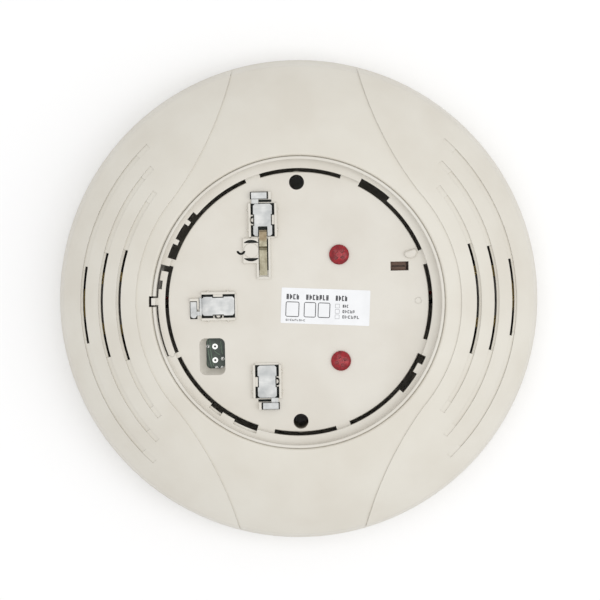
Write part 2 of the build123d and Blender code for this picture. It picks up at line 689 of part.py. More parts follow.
# ---- Board and its components ------------------------------------------------------------------------------------
def main_pcb():
    board = column(0, 0, BOARD_R, BOARD_Z, BOARD_TOP)
    for x, y in FIXING_SCREWS:
        board -= column(x, y, 3.5, BOARD_Z - 1, BOARD_TOP + 1)
    for x, y in BOARD_POSTS:
        board -= column(x, y, 1.7, BOARD_Z - 1, BOARD_TOP + 1)
    for side in (-1, 1):
        board -= column(0, side * MOUNT_Y, MOUNT_PILLAR_R + 0.6, BOARD_Z - 1, BOARD_TOP + 1)
    for x, y in LINK_PADS:
        board -= column(x, y, 0.4, BOARD_Z - 1, BOARD_TOP + 1)
    return board


def link_pads():
    """Two large ring pads and the small ones around them."""
    pads = []
    for x, y in LINK_PADS:
        pads.append(column(x, y, 1.05, BOARD_TOP, BOARD_TOP + PAD_T) - column(x, y, 0.4, 20, 40))
    for x, y in SMALL_PADS:
        pads.append(column(x, y, 0.6, BOARD_TOP, BOARD_TOP + PAD_T))
    return pads


def terminal_positions():
    first = -TERMINAL_PITCH * (TERMINAL_POLES - 1) / 2
    return [first + TERMINAL_PITCH * index for index in range(TERMINAL_POLES)]


def terminal_block():
    length = TERMINAL_PITCH * TERMINAL_POLES
    body = block(TERMINAL_X - 5, TERMINAL_X + 5, -length / 2, length / 2, TERMINAL_LOW, BOARD_Z)
    body = chamfer(body.edges().group_by(Axis.Z)[0].filter_by(Axis.Y), 1.5)
    for y in terminal_positions():
        body -= block(TERMINAL_X - 6, TERMINAL_X + 2.6, y - 2.4, y + 2.4, *TERMINAL_ENTRY)
        body -= column(TERMINAL_X, y, 2.3, TERMINAL_LOW - 1, TERMINAL_ENTRY[0] + 0.2)
    return body


def terminal_clamps():
    """Brass cage in each pole."""
    low, high = TERMINAL_ENTRY
    cages = []
    for y in terminal_positions():
        cage = block(TERMINAL_X - 2.5, TERMINAL_X + 2.5, y - 2.3, y + 2.3, low + 0.1, high - 0.1)
        cage -= block(TERMINAL_X - 3, TERMINAL_X + 3, y - 1.6, y + 1.6, low + 1.6, high - 0.8)
        cages.append(cage - column(TERMINAL_X, y, 1.3, low - 0.8, low + 2.2))
    return cages


def terminal_screws():
    screws = []
    for y in terminal_positions():
        pin = screw(2.1, 1.5, 1.25, 4.0, cross=False)
        screws.append(Pos(TERMINAL_X, y, TERMINAL_ENTRY[0]) * Rot(180, 0, 0) * pin)
    return screws


def electrolytic_capacitors():
    cans = []
    for x, y in CAPACITORS:
        can = column(x, y, 5, BOARD_Z - 12, BOARD_Z)
        cans.append(fillet(can.edges().group_by(Axis.Z)[0], 0.6))
    return cans


def sounder_transformer():
    x, y = TRANSFORMER
    core = block(x - 6.5, x + 6.5, y - 6.5, y + 6.5, BOARD_Z - 10, BOARD_Z - 1)
    core = chamfer(core.edges().filter_by(Axis.Z), 1.2)
    return core + block(x - 5, x + 5, y - 5, y + 5, BOARD_Z - 1.2, BOARD_Z)


def driver_transistors():
    bodies = []
    for y in (28.5, 34.5):
        can = column(14, y, 2.4, BOARD_Z - 6, BOARD_Z) - block(15.2, 20, y - 4, y + 4, 0, 40)
        bodies.append(can)
    return bodies


def chip(x, y, width, height, thick):
    """Flat chip body lying on the board."""
    body = block(x - width / 2, x + width / 2, y - height / 2, y + height / 2, BOARD_TOP, BOARD_TOP + thick)
    return chamfer(body.edges().group_by(Axis.Z)[-1], 0.25)


def service_connector():
    """Brown connector behind the rectangular opening, with a row of slots in its top."""
    x, y = SERVICE_WINDOW[:2]
    body = block(x - 4.2, x + 4.2, y - 2.5, y + 2.5, BOARD_TOP, SERVICE_TOP)
    body -= block(x - 2.8, x + 2.0, y - 0.35, y + 0.35, SERVICE_TOP - 1.5, SERVICE_TOP + 1)
    body -= block(x + 2.4, x + 3.3, y - 1.5, y + 1.5, SERVICE_TOP - 2.5, SERVICE_TOP + 1)
    return chamfer(body.edges().group_by(Axis.Z)[0].filter_by(Axis.X), 0.3)


def chip_parts():
    """Resistors and ceramic capacitors, in two rows on the front of the board."""
    parts = []
    for row, y in enumerate((4.0, -8.0)):
        for index in range(6):
            parts.append(chip(-18 + 4.2 * index + 1.5 * row, y, 2.0, 1.25, 0.6))
    return parts


# ---- Sounders ------------------------------------------------------------------------------------------------------
def sounder_cup(side):
    """Open cup that holds the piezo plate, with the terminal pad its leads leave from."""
    x = side * SOUNDER_X
    cup = column(x, 0, SOUNDER_R, WALL, SOUNDER_TOP)
    cup -= column(x, 0, SOUNDER_R - 1.6, WALL + 1.6, SOUNDER_TOP + 1)
    cup += column(x, 0, SOUNDER_R - 1, WALL + 1.5, PIEZO_Z) - column(x, 0, SOUNDER_R - 2.8, WALL, 11)
    pad = sorted((side * (SOUNDER_X - SOUNDER_R - 1.5), side * (SOUNDER_X - SOUNDER_R + 1.2)))
    return cup + block(*pad, -4, 4, 4.2, 9.5)


def piezo_disc(side):
    return column(side * SOUNDER_X, 0, SOUNDER_R - 1.8, PIEZO_Z, PIEZO_Z + PIEZO_DISC_T)


def piezo_ceramic(side):
    low = PIEZO_Z + PIEZO_DISC_T
    return column(side * SOUNDER_X, 0, PIEZO_CERAMIC_R, low, low + PIEZO_CERAMIC_T)


def piezo_lead(offset):
    """One lead of each sounder, from its cup to the underside of the board."""
    leads = []
    for side in (-1, 1):
        start = side * (SOUNDER_X - SOUNDER_R - 1.5)
        path = FilletPolyline(
            (start, offset, 7),
            (side * 49, offset, 7),
            (side * 43, offset, 13),
            (side * 43, offset, BOARD_Z),
            radius=4,
        )
        section = Plane(origin=(start, offset, 7), z_dir=(-side, 0, 0)) * Circle(LEAD_R)
        leads.append(sweep(section, path=path))
    return leads


# ---- Screws and label ---------------------------------------------------------------------------------------------
def fixing_screws():
    screws = []
    for (x, y), turn in zip(FIXING_SCREWS, FIXING_TURNS):
        pin = screw(FIXING_HEAD_R, FIXING_HEAD_H, FIXING_SHANK_R, 24)
        screws.append(Pos(x, y, FLOOR_Z) * Rot(0, 0, turn) * pin)
    return screws


def pcb_screws():
    pin = screw(2.8, 1.6, 1.25, 9)
    return [Pos(x, y, BOARD_TOP) * pin for x, y in BOARD_POSTS]


def cover_screws():
    screws = []
    for angle in COVER_SCREW_ANGLES:
        x, y = polar(COVER_SCREW_R, angle)
        pin = screw(3.1, 1.2, 1.35, 11)
        screws.append(Pos(x, y, 1.3) * Rot(180, 0, 0) * pin)
    return screws


def address_label():
    width, height, thick = LABEL_SIZE
    x, y, turn = LABEL
    sheet = extrude(RectangleRounded(width, height, 0.4), thick)
    return Pos(x, y, FLOOR_Z) * Rot(0, 0, turn) * sheet


def all_parts():
    parts = {
        "front_cover": front_cover(),
        "socket_plate": socket_plate(),
        "locking_latch": locking_latch(),
        "supervision_spring": supervision_spring(),
        "rear_cover": rear_cover(),
        "main_pcb": main_pcb(),
        "link_pads": link_pads(),
        "terminal_block": terminal_block(),
        "terminal_clamps": terminal_clamps(),
        "terminal_screws": terminal_screws(),
        "electrolytic_capacitors": electrolytic_capacitors(),
        "sounder_transformer": sounder_transformer(),
        "driver_transistors": driver_transistors(),
        "microcontroller": chip(4, 32, 10, 10, 1.4),
        "interface_chip": chip(32, -10, 6, 10, 1.5),
        "chip_parts": chip_parts(),
        "service_connector": service_connector(),
        "piezo_lead_red": piezo_lead(1.6),
        "piezo_lead_black": piezo_lead(-1.6),
        "fixing_screws": fixing_screws(),
        "pcb_screws": pcb_screws(),
        "cover_screws": cover_screws(),
        "address_label": address_label(),
    }
    for clip in CLIPS:
        parts["contact_leaf_" + clip] = contact_leaf(clip)
        parts["contact_terminal_" + clip] = contact_terminal(clip)
    for name, side in (("left", -1), ("right", 1)):
        parts["sounder_cup_" + name] = sounder_cup(side)
        parts["piezo_disc_" + name] = piezo_disc(side)
        parts["piezo_ceramic_" + name] = piezo_ceramic(side)
    return parts


os.makedirs("parts", exist_ok=True)
for node, shape in all_parts().items():
    if isinstance(shape, list):
        shape = Compound(children=shape)
    export_step(shape, "parts/" + node + ".step")
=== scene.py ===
import json
from math import cos, pi, radians, sin

import bmesh
import bpy
from mathutils import Matrix, Vector


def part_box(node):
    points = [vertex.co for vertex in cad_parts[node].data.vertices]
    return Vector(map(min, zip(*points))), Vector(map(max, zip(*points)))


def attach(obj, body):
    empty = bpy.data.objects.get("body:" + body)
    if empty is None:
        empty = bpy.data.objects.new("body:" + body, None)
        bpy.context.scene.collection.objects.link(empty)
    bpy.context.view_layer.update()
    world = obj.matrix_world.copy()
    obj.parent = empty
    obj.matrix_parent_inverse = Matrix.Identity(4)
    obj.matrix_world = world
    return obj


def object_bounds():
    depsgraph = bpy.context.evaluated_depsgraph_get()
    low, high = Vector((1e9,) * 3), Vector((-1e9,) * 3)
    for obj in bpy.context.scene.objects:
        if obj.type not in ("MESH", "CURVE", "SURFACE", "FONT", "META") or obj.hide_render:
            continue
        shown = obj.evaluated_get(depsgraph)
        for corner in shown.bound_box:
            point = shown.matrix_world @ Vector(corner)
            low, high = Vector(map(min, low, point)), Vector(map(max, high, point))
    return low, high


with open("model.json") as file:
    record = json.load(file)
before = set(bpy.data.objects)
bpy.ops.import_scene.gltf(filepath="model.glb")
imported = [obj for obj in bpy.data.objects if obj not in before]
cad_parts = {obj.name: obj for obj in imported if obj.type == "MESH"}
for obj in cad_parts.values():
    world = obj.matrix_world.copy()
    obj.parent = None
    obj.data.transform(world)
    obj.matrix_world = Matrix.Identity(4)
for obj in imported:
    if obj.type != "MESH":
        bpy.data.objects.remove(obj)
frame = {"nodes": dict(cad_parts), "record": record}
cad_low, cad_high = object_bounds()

# Looks of the sounder base: its finishes, the printed label, the small detail of the board,
# the light and the camera. Metres, in the frame's own axes.

MM = 0.001
NODES = frame["nodes"]


# ---- Colours, as the eye sees them -----------------------------------------------------------
def linear(red, green, blue):
    """An 8-bit display colour as the shader's linear colour."""
    parts = []
    for value in (red, green, blue):
        share = value / 255
        parts.append(share / 12.92 if share <= 0.04045 else ((share + 0.055) / 1.055) ** 2.4)
    return (*parts, 1.0)


IVORY = linear(217, 213, 203)
IVORY_SHADE = linear(212, 207, 196)
# Edge colour of the ivory parts: partly wear, partly a painted highlight along the edges.
IVORY_EDGE_WEAR_AND_HIGHLIGHT = linear(226, 223, 215)
SOCKET_IVORY = linear(216, 212, 203)
SOCKET_SHADE = linear(210, 205, 195)
REAR_IVORY = linear(204, 199, 187)
REAR_SHADE = linear(196, 190, 177)


# ---- Node helpers ------------------------------------------------------------------------------
class Finish:
    """One material under construction: its node tree, its shader and its coordinates."""

    def __init__(self, name):
        self.material = bpy.data.materials.new(name)
        self.material.use_nodes = True
        self.tree = self.material.node_tree
        self.shader = self.tree.nodes["Principled BSDF"]
        self.place = self.add("ShaderNodeTexCoord").outputs["Object"]

    def add(self, kind, **values):
        """A new node. Values that name an input are set on it or linked to it.

        The others are its settings.
        """
        made = self.tree.nodes.new(kind)
        for key, value in values.items():
            if key.title() in made.inputs:
                self.give(made.inputs[key.title()], value)
            else:
                setattr(made, key, value)
        return made

    def give(self, socket, value):
        if isinstance(value, bpy.types.NodeSocket):
            self.tree.links.new(value, socket)
        else:
            socket.default_value = value

    def set(self, **values):
        """Sets or links sockets of the shader itself."""
        for key, value in values.items():
            self.give(self.shader.inputs[key.replace("_", " ")], value)

    def noise(self, size, detail=2.0, rough=0.5, stretch=None):
        """Noise whose features are about this size in metres."""
        place = self.place
        if stretch:
            scaled = self.add("ShaderNodeMapping")
            self.give(scaled.inputs["Vector"], place)
            scaled.inputs["Scale"].default_value = stretch
            place = scaled.outputs["Vector"]
        made = self.add(
            "ShaderNodeTexNoise", scale=1 / size, detail=detail, roughness=rough, vector=place
        )
        return made.outputs["Fac"]

    def ramp(self, source, low, high, out_low=0.0, out_high=1.0):
        """Source remapped, and clamped, from low..high to out_low..out_high."""
        made = self.add("ShaderNodeMapRange")
        for key, value in zip(
            ("Value", "From Min", "From Max", "To Min", "To Max"),
            (source, low, high, out_low, out_high),
        ):
            self.give(made.inputs[key], value)
        return made.outputs["Result"]

    def blend(self, share, first, second):
        """Mix of two colours."""
        made = self.add("ShaderNodeMix", data_type="RGBA")
        self.give(made.inputs[0], share)
        self.give(made.inputs[6], first)
        self.give(made.inputs[7], second)
        return made.outputs[2]

    def maths(self, operation, first, second):
        made = self.add("ShaderNodeMath", operation=operation)
        self.give(made.inputs[0], first)
        self.give(made.inputs[1], second)
        return made.outputs[0]

    def soft_edges(self, radius):
        """Normal with every edge rounded by this radius."""
        return self.add("ShaderNodeBevel", samples=6, radius=radius).outputs["Normal"]

    def edge_mask(self, radius, strength=1.0):
        """1 on the object's edges and 0 on its faces."""
        rounded = self.soft_edges(radius)
        flat = self.add("ShaderNodeNewGeometry").outputs["Normal"]
        across = self.add("ShaderNodeVectorMath", operation="DOT_PRODUCT")
        self.give(across.inputs[0], rounded)
        self.give(across.inputs[1], flat)
        return self.ramp(across.outputs["Value"], 0.995, 0.8, 0.0, strength)

    def grain(self, height, depth, normal=None):
        """Bump from a height signal, depth in metres."""
        made = self.add("ShaderNodeBump", strength=1.0, distance=depth, height=height)
        if normal is not None:
            self.give(made.inputs["Normal"], normal)
        return made.outputs["Normal"]


# ---- Materials -----------------------------------------------------------------------------------
def moulded(name, light, shade, edge_wear_and_highlight, grain_size=0.35 * MM, gloss=0.5):
    """Matt moulded plastic: spark-eroded grain, slight mottling, edges smoother from wear and lighter, the
    lightening partly wear and partly a painted highlight.
    """
    finish = Finish(name)
    mottle = finish.noise(22 * MM, detail=3.0)
    specks = finish.noise(1.1 * MM, detail=2.0)
    body = finish.blend(finish.ramp(mottle, 0.35, 0.65), light, shade)
    body = finish.blend(finish.ramp(specks, 0.62, 0.75, 0.0, 0.25), body, shade)
    # Edge mask: edges made smoother, for wear, and lighter, as a painted highlight.
    rubbed_and_painted_highlight = finish.edge_mask(0.35 * MM, 0.45)
    colour = finish.blend(rubbed_and_painted_highlight, body, edge_wear_and_highlight)
    matt = finish.ramp(finish.noise(5 * MM, detail=3.0), 0.3, 0.7, gloss - 0.04, gloss + 0.05)
    roughness = finish.maths("SUBTRACT", matt, finish.maths("MULTIPLY", rubbed_and_painted_highlight, 0.12))
    grains = finish.noise(grain_size, detail=2.0, rough=0.6)
    normal = finish.grain(grains, 0.012 * MM, finish.soft_edges(0.18 * MM))
    finish.set(Base_Color=colour, Roughness=roughness, Normal=normal, Specular_IOR_Level=0.42)
    return finish.material


def plated(name, light, shade, streaks, gloss=0.34):
    """Rolled and plated spring metal: fine streaks along the strip, dull patches, and edges lightened as a
    painted highlight.
    """
    finish = Finish(name)
    lines = finish.noise(0.5 * MM, detail=4.0, stretch=streaks)
    patches = finish.noise(3.5 * MM, detail=3.0)
    body = finish.blend(finish.ramp(patches, 0.3, 0.7), light, shade)
    colour = finish.blend(finish.ramp(lines, 0.4, 0.62, 0.0, 0.3), body, shade)
    # Painted highlight: every edge blended towards the lighter metal colour.
    bright = finish.edge_mask(0.2 * MM, 0.6)
    colour = finish.blend(bright, colour, light)
    roughness = finish.ramp(patches, 0.25, 0.75, gloss - 0.05, gloss + 0.09)
    normal = finish.grain(lines, 0.004 * MM, finish.soft_edges(0.08 * MM))
    finish.set(Base_Color=colour, Roughness=roughness, Normal=normal, Metallic=1.0)
    return finish.material


def tarnished_bronze():
    """Phosphor bronze gone olive, with painted shade, browner, beyond its knee where the strip slopes away, and
    a painted highlight on its edges.
    """
    finish = Finish("spring_bronze")
    stains = finish.noise(2.2 * MM, detail=4.0, rough=0.6)
    lines = finish.noise(0.4 * MM, detail=3.0, stretch=(1.0, 0.06, 1.0))
    colour = finish.blend(finish.ramp(stains, 0.35, 0.65), linear(160, 155, 136), linear(134, 128, 108))
    along = finish.add("ShaderNodeSeparateXYZ", vector=finish.place).outputs["Y"]
    # Painted shade: browner past the knee, where the strip slopes away from the light.
    painted_shade_beyond_knee = finish.ramp(along, 22.5 * MM, 23.5 * MM, 0.0, 0.7)
    colour = finish.blend(painted_shade_beyond_knee, colour, linear(132, 114, 90))
    # Painted highlight: edges blended towards a light bronze.
    colour = finish.blend(finish.edge_mask(0.2 * MM, 0.7), colour, linear(222, 216, 196))
    roughness = finish.ramp(stains, 0.3, 0.7, 0.3, 0.46)
    normal = finish.grain(lines, 0.005 * MM, finish.soft_edges(0.08 * MM))
    finish.set(Base_Color=colour, Roughness=roughness, Normal=normal, Metallic=1.0)
    return finish.material


def red_dyed_screw():
    """Red dyed zinc: satin, lighter pink at the edges, partly from dye wearing through to the metal and partly
    as a painted highlight.
    """
    finish = Finish("red_screw")
    cloud = finish.noise(1.2 * MM, detail=3.0)
    colour = finish.blend(finish.ramp(cloud, 0.35, 0.65), linear(160, 22, 34), linear(118, 12, 24))
    # Edges lighter pink: partly wear of the dye, partly a painted highlight.
    rubbed_and_painted_highlight = finish.edge_mask(0.18 * MM, 0.5)
    colour = finish.blend(rubbed_and_painted_highlight, colour, linear(226, 118, 120))
    roughness = finish.ramp(cloud, 0.3, 0.7, 0.2, 0.32)
    turned_lines = finish.noise(0.25 * MM, detail=2.0)
    normal = finish.grain(turned_lines, 0.004 * MM, finish.soft_edges(0.15 * MM))
    finish.set(Base_Color=colour, Roughness=roughness, Normal=normal, Metallic=0.35)
    finish.set(Coat_Weight=0.35, Coat_Roughness=0.25)
    return finish.material


def zinc_screw():
    return plated("steel_screw", linear(214, 216, 220), linear(186, 188, 192), (1.0, 1.0, 1.0), 0.3)


def label_paper():
    """White self-adhesive paper with a faint fibre."""
    finish = Finish("label_paper")
    fibre = finish.noise(0.25 * MM, detail=4.0, rough=0.7)
    cloud = finish.noise(6 * MM)
    colour = finish.blend(finish.ramp(cloud, 0.3, 0.7), linear(236, 237, 239), linear(230, 231, 233))
    normal = finish.grain(fibre, 0.006 * MM)
    roughness = finish.ramp(fibre, 0.3, 0.7, 0.5, 0.62)
    finish.set(Base_Color=colour, Roughness=roughness, Normal=normal)
    return finish.material


def print_ink(name, dark, thin):
    """Printing ink, a little uneven."""
    finish = Finish(name)
    spread = finish.noise(0.3 * MM, detail=3.0)
    colour = finish.blend(finish.ramp(spread, 0.35, 0.7), dark, thin)
    finish.set(Base_Color=colour, Roughness=finish.ramp(spread, 0.3, 0.7, 0.4, 0.55))
    return finish.material


def solder_resist():
    """Green lacquer over the board's weave."""
    finish = Finish("board_green")
    wave = finish.add("ShaderNodeTexWave", scale=1100.0, distortion=0.6, vector=finish.place)
    weave = wave.outputs["Fac"]
    cloud = finish.noise(2.5 * MM, detail=3.0)
    colour = finish.blend(finish.ramp(cloud, 0.3, 0.7), linear(56, 72, 60), linear(42, 55, 46))
    roughness = finish.ramp(cloud, 0.3, 0.7, 0.28, 0.4)
    normal = finish.grain(weave, 0.006 * MM)
    finish.set(Base_Color=colour, Roughness=roughness, Normal=normal, Specular_IOR_Level=0.55)
    return finish.material


def bright_solder():
    """Tinned copper and solder: bright, slightly grainy."""
    finish = Finish("solder")
    grains = finish.noise(0.18 * MM, detail=3.0)
    colour = finish.blend(finish.ramp(grains, 0.35, 0.65), linear(226, 226, 222), linear(196, 197, 195))
    normal = finish.grain(grains, 0.01 * MM)
    roughness = finish.ramp(grains, 0.3, 0.7, 0.22, 0.36)
    finish.set(Base_Color=colour, Roughness=roughness, Normal=normal, Metallic=1.0)
    return finish.material


def simple_moulding(name, light, shade, gloss, grain_size=0.25 * MM):
    """Darker technical plastics: chips, cups, terminals, sleeves and insulation."""
    finish = Finish(name)
    cloud = finish.noise(4 * MM, detail=3.0)
    grains = finish.noise(grain_size, detail=2.0)
    colour = finish.blend(finish.ramp(cloud, 0.3, 0.7), light, shade)
    # Painted highlight: every edge blended towards light grey.
    colour = finish.blend(finish.edge_mask(0.2 * MM, 0.25), colour, linear(150, 150, 150))
    roughness = finish.ramp(cloud, 0.3, 0.7, gloss - 0.05, gloss + 0.06)
    normal = finish.grain(grains, 0.01 * MM, finish.soft_edges(0.12 * MM))
    finish.set(Base_Color=colour, Roughness=roughness, Normal=normal)
    return finish.material


def wound_tape():
    """Polyester tape round the transformer, with the edges of its turns."""
    finish = Finish("transformer_tape")
    turns = finish.add("ShaderNodeTexWave", scale=220.0, distortion=0.3, vector=finish.place)
    turns.bands_direction = "Z"
    cloud = finish.noise(3 * MM)
    colour = finish.blend(finish.ramp(cloud, 0.3, 0.7), linear(205, 172, 70), linear(184, 150, 52))
    normal = finish.grain(turns.outputs["Fac"], 0.03 * MM, finish.soft_edges(0.3 * MM))
    roughness = finish.ramp(cloud, 0.3, 0.7, 0.2, 0.32)
    finish.set(Base_Color=colour, Roughness=roughness, Normal=normal, Coat_Weight=0.4)
    return finish.material


def brass(name):
    return plated(name, linear(222, 196, 130), linear(196, 168, 102), (1.0, 0.2, 1.0), 0.28)


def silvered_ceramic():
    """Fired silver on the piezo ceramic."""
    finish = Finish("piezo_ceramic")
    grains = finish.noise(0.2 * MM, detail=4.0)
    colour = finish.blend(finish.ramp(grains, 0.3, 0.7), linear(218, 216, 208), linear(200, 197, 188))
    roughness = finish.ramp(grains, 0.3, 0.7, 0.5, 0.65)
    finish.set(Base_Color=colour, Roughness=roughness, Normal=finish.grain(grains, 0.01 * MM), Metallic=0.6)
    return finish.material


def all_materials():
    """Every finish, by the record's slot name."""
    return {
        "ivory_cover": moulded("ivory_cover", IVORY, IVORY_SHADE, IVORY_EDGE_WEAR_AND_HIGHLIGHT),
        "ivory_socket": moulded("ivory_socket", SOCKET_IVORY, SOCKET_SHADE, IVORY_EDGE_WEAR_AND_HIGHLIGHT, 0.28 * MM, 0.44),
        "ivory_rear": moulded("ivory_rear", REAR_IVORY, REAR_SHADE, IVORY_SHADE, 0.5 * MM, 0.55),
        "contact_metal": plated(
            "contact_metal", linear(196, 196, 194), linear(172, 174, 174), (0.15, 1.0, 1.0), 0.42
        ),
        "spring_bronze": tarnished_bronze(),
        "red_screw": red_dyed_screw(),
        "label_paper": label_paper(),
        "board_green": solder_resist(),
        "solder": bright_solder(),
        "connector_brown": simple_moulding("connector_brown", linear(104, 70, 48), linear(84, 56, 38), 0.4),
        "chip_black": simple_moulding("chip_black", linear(44, 44, 46), linear(34, 34, 36), 0.5),
        "black_plastic": simple_moulding("black_plastic", linear(50, 50, 53), linear(38, 38, 40), 0.55),
        "terminal_plastic": simple_moulding("terminal_plastic", linear(58, 128, 78), linear(46, 108, 64), 0.4),
        "terminal_brass": brass("terminal_brass"),
        "steel_screw": zinc_screw(),
        "capacitor_can": simple_moulding("capacitor_can", linear(52, 56, 82), linear(40, 44, 66), 0.3),
        "transformer_tape": wound_tape(),
        "piezo_brass": brass("piezo_brass"),
        "piezo_ceramic": silvered_ceramic(),
        "lead_red": simple_moulding("lead_red", linear(176, 40, 36), linear(150, 30, 28), 0.4),
        "lead_black": simple_moulding("lead_black", linear(40, 40, 42), linear(30, 30, 32), 0.4),
    }


def dress_nodes(materials):
    """Gives each CAD node the finish of its slot."""
    for part in frame["record"]["subparts"]:
        node = NODES[part["node"]]
        node.data.materials.clear()
        node.data.materials.append(materials[part["material_slot"]])


# ---- Mesh helpers ------------------------------------------------------------------------------------
def as_piece(name, mesh_builder, body, material):
    """Turns a filled bmesh into a piece that rides on a body."""
    bmesh.ops.recalc_face_normals(mesh_builder, faces=mesh_builder.faces)
    mesh = bpy.data.meshes.new(name)
    mesh_builder.to_mesh(mesh)
    mesh_builder.free()
    mesh.materials.append(material)
    piece = bpy.data.objects.new(name, mesh)
    bpy.context.scene.collection.objects.link(piece)
    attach(piece, body)
    return piece


def prism(builder, outline, low, high):
    """Adds a closed prism over a plan outline."""
    bottom = [builder.verts.new((x, y, low)) for x, y in outline]
    top = [builder.verts.new((x, y, high)) for x, y in outline]
    builder.faces.new(bottom[::-1])
    builder.faces.new(top)
    count = len(outline)
    for index in range(count):
        after = (index + 1) % count
        builder.faces.new((bottom[index], bottom[after], top[after], top[index]))


def rounded_outline(x_low, x_high, y_low, y_high, radius, steps=5):
    """Corners of a rounded rectangle, anticlockwise."""
    points = []
    corners = (
        (x_high - radius, y_low + radius, -90),
        (x_high - radius, y_high - radius, 0),
        (x_low + radius, y_high - radius, 90),
        (x_low + radius, y_low + radius, 180),
    )
    for x, y, start in corners:
        for step in range(steps + 1):
            angle = radians(start + 90 * step / steps)
            points.append((x + radius * cos(angle), y + radius * sin(angle)))
    return points


def ring_prism(builder, outer, inner, low, high):
    """Adds a closed frame between two outlines of as many points."""
    rows = []
    for outline in (outer, inner):
        for height in (low, high):
            rows.append([builder.verts.new((x, y, height)) for x, y in outline])
    outer_low, outer_high, inner_low, inner_high = rows
    count = len(outer)
    for index in range(count):
        after = (index + 1) % count
        for first, second in (
            (outer_low, outer_high),
            (outer_high, inner_high),
            (inner_high, inner_low),
            (inner_low, outer_low),
        ):
            builder.faces.new((first[index], first[after], second[after], second[index]))


# ---- Label print -----------------------------------------------------------------------------------------
LABEL_W = 33.0 * MM
LABEL_H = 13.2 * MM
LABEL_TURN = radians(-3.1)
INK_DEPTH = 0.015 * MM
LINE_W = 0.3 * MM
HEADING_LINE_W = 0.44 * MM
CHECK_LINE_W = 0.16 * MM
CHECK_WORD_LINE_W = 0.26 * MM
FOOT_LINE_W = 0.18 * MM


def label_frame():
    """Matrix from the label's own frame, with its top left corner at the origin, to the row frame."""
    low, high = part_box("address_label")
    centre = (low + high) / 2
    shift = Matrix.Translation((-LABEL_W / 2, LABEL_H / 2, 0))
    turn = Matrix.Rotation(LABEL_TURN, 4, "Z")
    return Matrix.Translation((centre.x, centre.y, high.z)) @ turn @ shift


def outlined_box(builder, left, top, width, height, line, radius):
    """Printed box outline; left and top are measured from the label's top left corner."""
    outer = rounded_outline(left, left + width, -top - height, -top, radius)
    inner = rounded_outline(
        left + line, left + width - line, -top - height + line, -top - line, radius * 0.45
    )
    ring_prism(builder, outer, inner, 0, INK_DEPTH)


def stroke_word(builder, left, right, top, bottom, letters, line):
    """A word-like row of plain strokes that spells nothing."""
    pitch = (right - left) / letters
    width = pitch * 0.72
    for index in range(letters):
        x = left + index * pitch
        shapes = [(x, x + line, bottom, top)]
        if index % 2 == 0:
            shapes.append((x + line, x + width, top - line, top))
        if index % 3 != 1:
            shapes.append((x + line, x + width, bottom, bottom + line))
        if index % 3 != 2:
            shapes.append((x + width - line, x + width, bottom + line, top - line))
        for sides in shapes:
            prism(builder, rounded_outline(*sides, line * 0.2, 1), 0, INK_DEPTH)


def label_print(materials):
    """Word-like strokes, three large boxes to write in and three small check boxes."""
    headings = ((1.9, 6.9, 4), (9.2, 17.9, 7), (20.2, 24.8, 4))
    write_boxes = ((1.7, 5.1), (8.5, 4.5), (13.7, 4.6))
    check_rows = (5.4, 7.4, 9.4)
    check_words = ((25.2, 3), (27.6, 5), (29.4, 6))
    dark = bmesh.new()
    for left, right, letters in headings:
        stroke_word(dark, left * MM, right * MM, -2.3 * MM, -4.3 * MM, letters, HEADING_LINE_W)
    for left, width in write_boxes:
        outlined_box(dark, left * MM, 5.1 * MM, width * MM, 5.7 * MM, LINE_W, 0.7 * MM)
    for top, (right, letters) in zip(check_rows, check_words):
        y = -(top + 0.2) * MM
        stroke_word(dark, 22.9 * MM, right * MM, y, y - 1.15 * MM, letters, CHECK_WORD_LINE_W)
    stroke_word(dark, 1.9 * MM, 9.3 * MM, -11.6 * MM, -12.3 * MM, 9, FOOT_LINE_W)
    light = bmesh.new()
    for top in check_rows:
        outlined_box(light, 20.1 * MM, top * MM, 1.7 * MM, 1.6 * MM, CHECK_LINE_W, 0.2 * MM)
    inks = (
        ("label_print_dark", dark, materials["ink_dark"]),
        ("label_print_grey", light, materials["ink_grey"]),
    )
    for name, builder, ink in inks:
        builder.transform(label_frame())
        as_piece(name, builder, "base", ink)


# ---- Board detail ----------------------------------------------------------------------------------------
RING_PAD_R = 1.05 * MM
RING_PAD_INSET = 3.15 * MM  # from the left of all the pads to the middle of a ring pad
HALF_PITCH = 2.55 * MM      # half of the distance between the ring pads
TRACK_T = 0.03 * MM
PAD_T = 0.08 * MM
BLOB_H = 0.32 * MM


def ribbon(builder, route, width, low, high):
    """Adds a strip of even width along a route of points."""
    left, right = [], []
    for index, point in enumerate(route):
        before = Vector(route[max(index - 1, 0)])
        after = Vector(route[min(index + 1, len(route) - 1)])
        along = (after - before).normalized()
        side = Vector((-along.y, along.x)) * width / 2
        left.append(Vector(point) + side)
        right.append(Vector(point) - side)
    prism(builder, [(p.x, p.y) for p in right + left[::-1]], low, high)


def smooth_route(points, steps=6):
    """Points of a quadratic curve through a start, a pull point and an end."""
    start, pull, end = (Vector(p) for p in points)
    route = []
    for step in range(steps + 1):
        t = step / steps
        route.append(start * (1 - t) ** 2 + pull * 2 * t * (1 - t) + end * t**2)
    return route


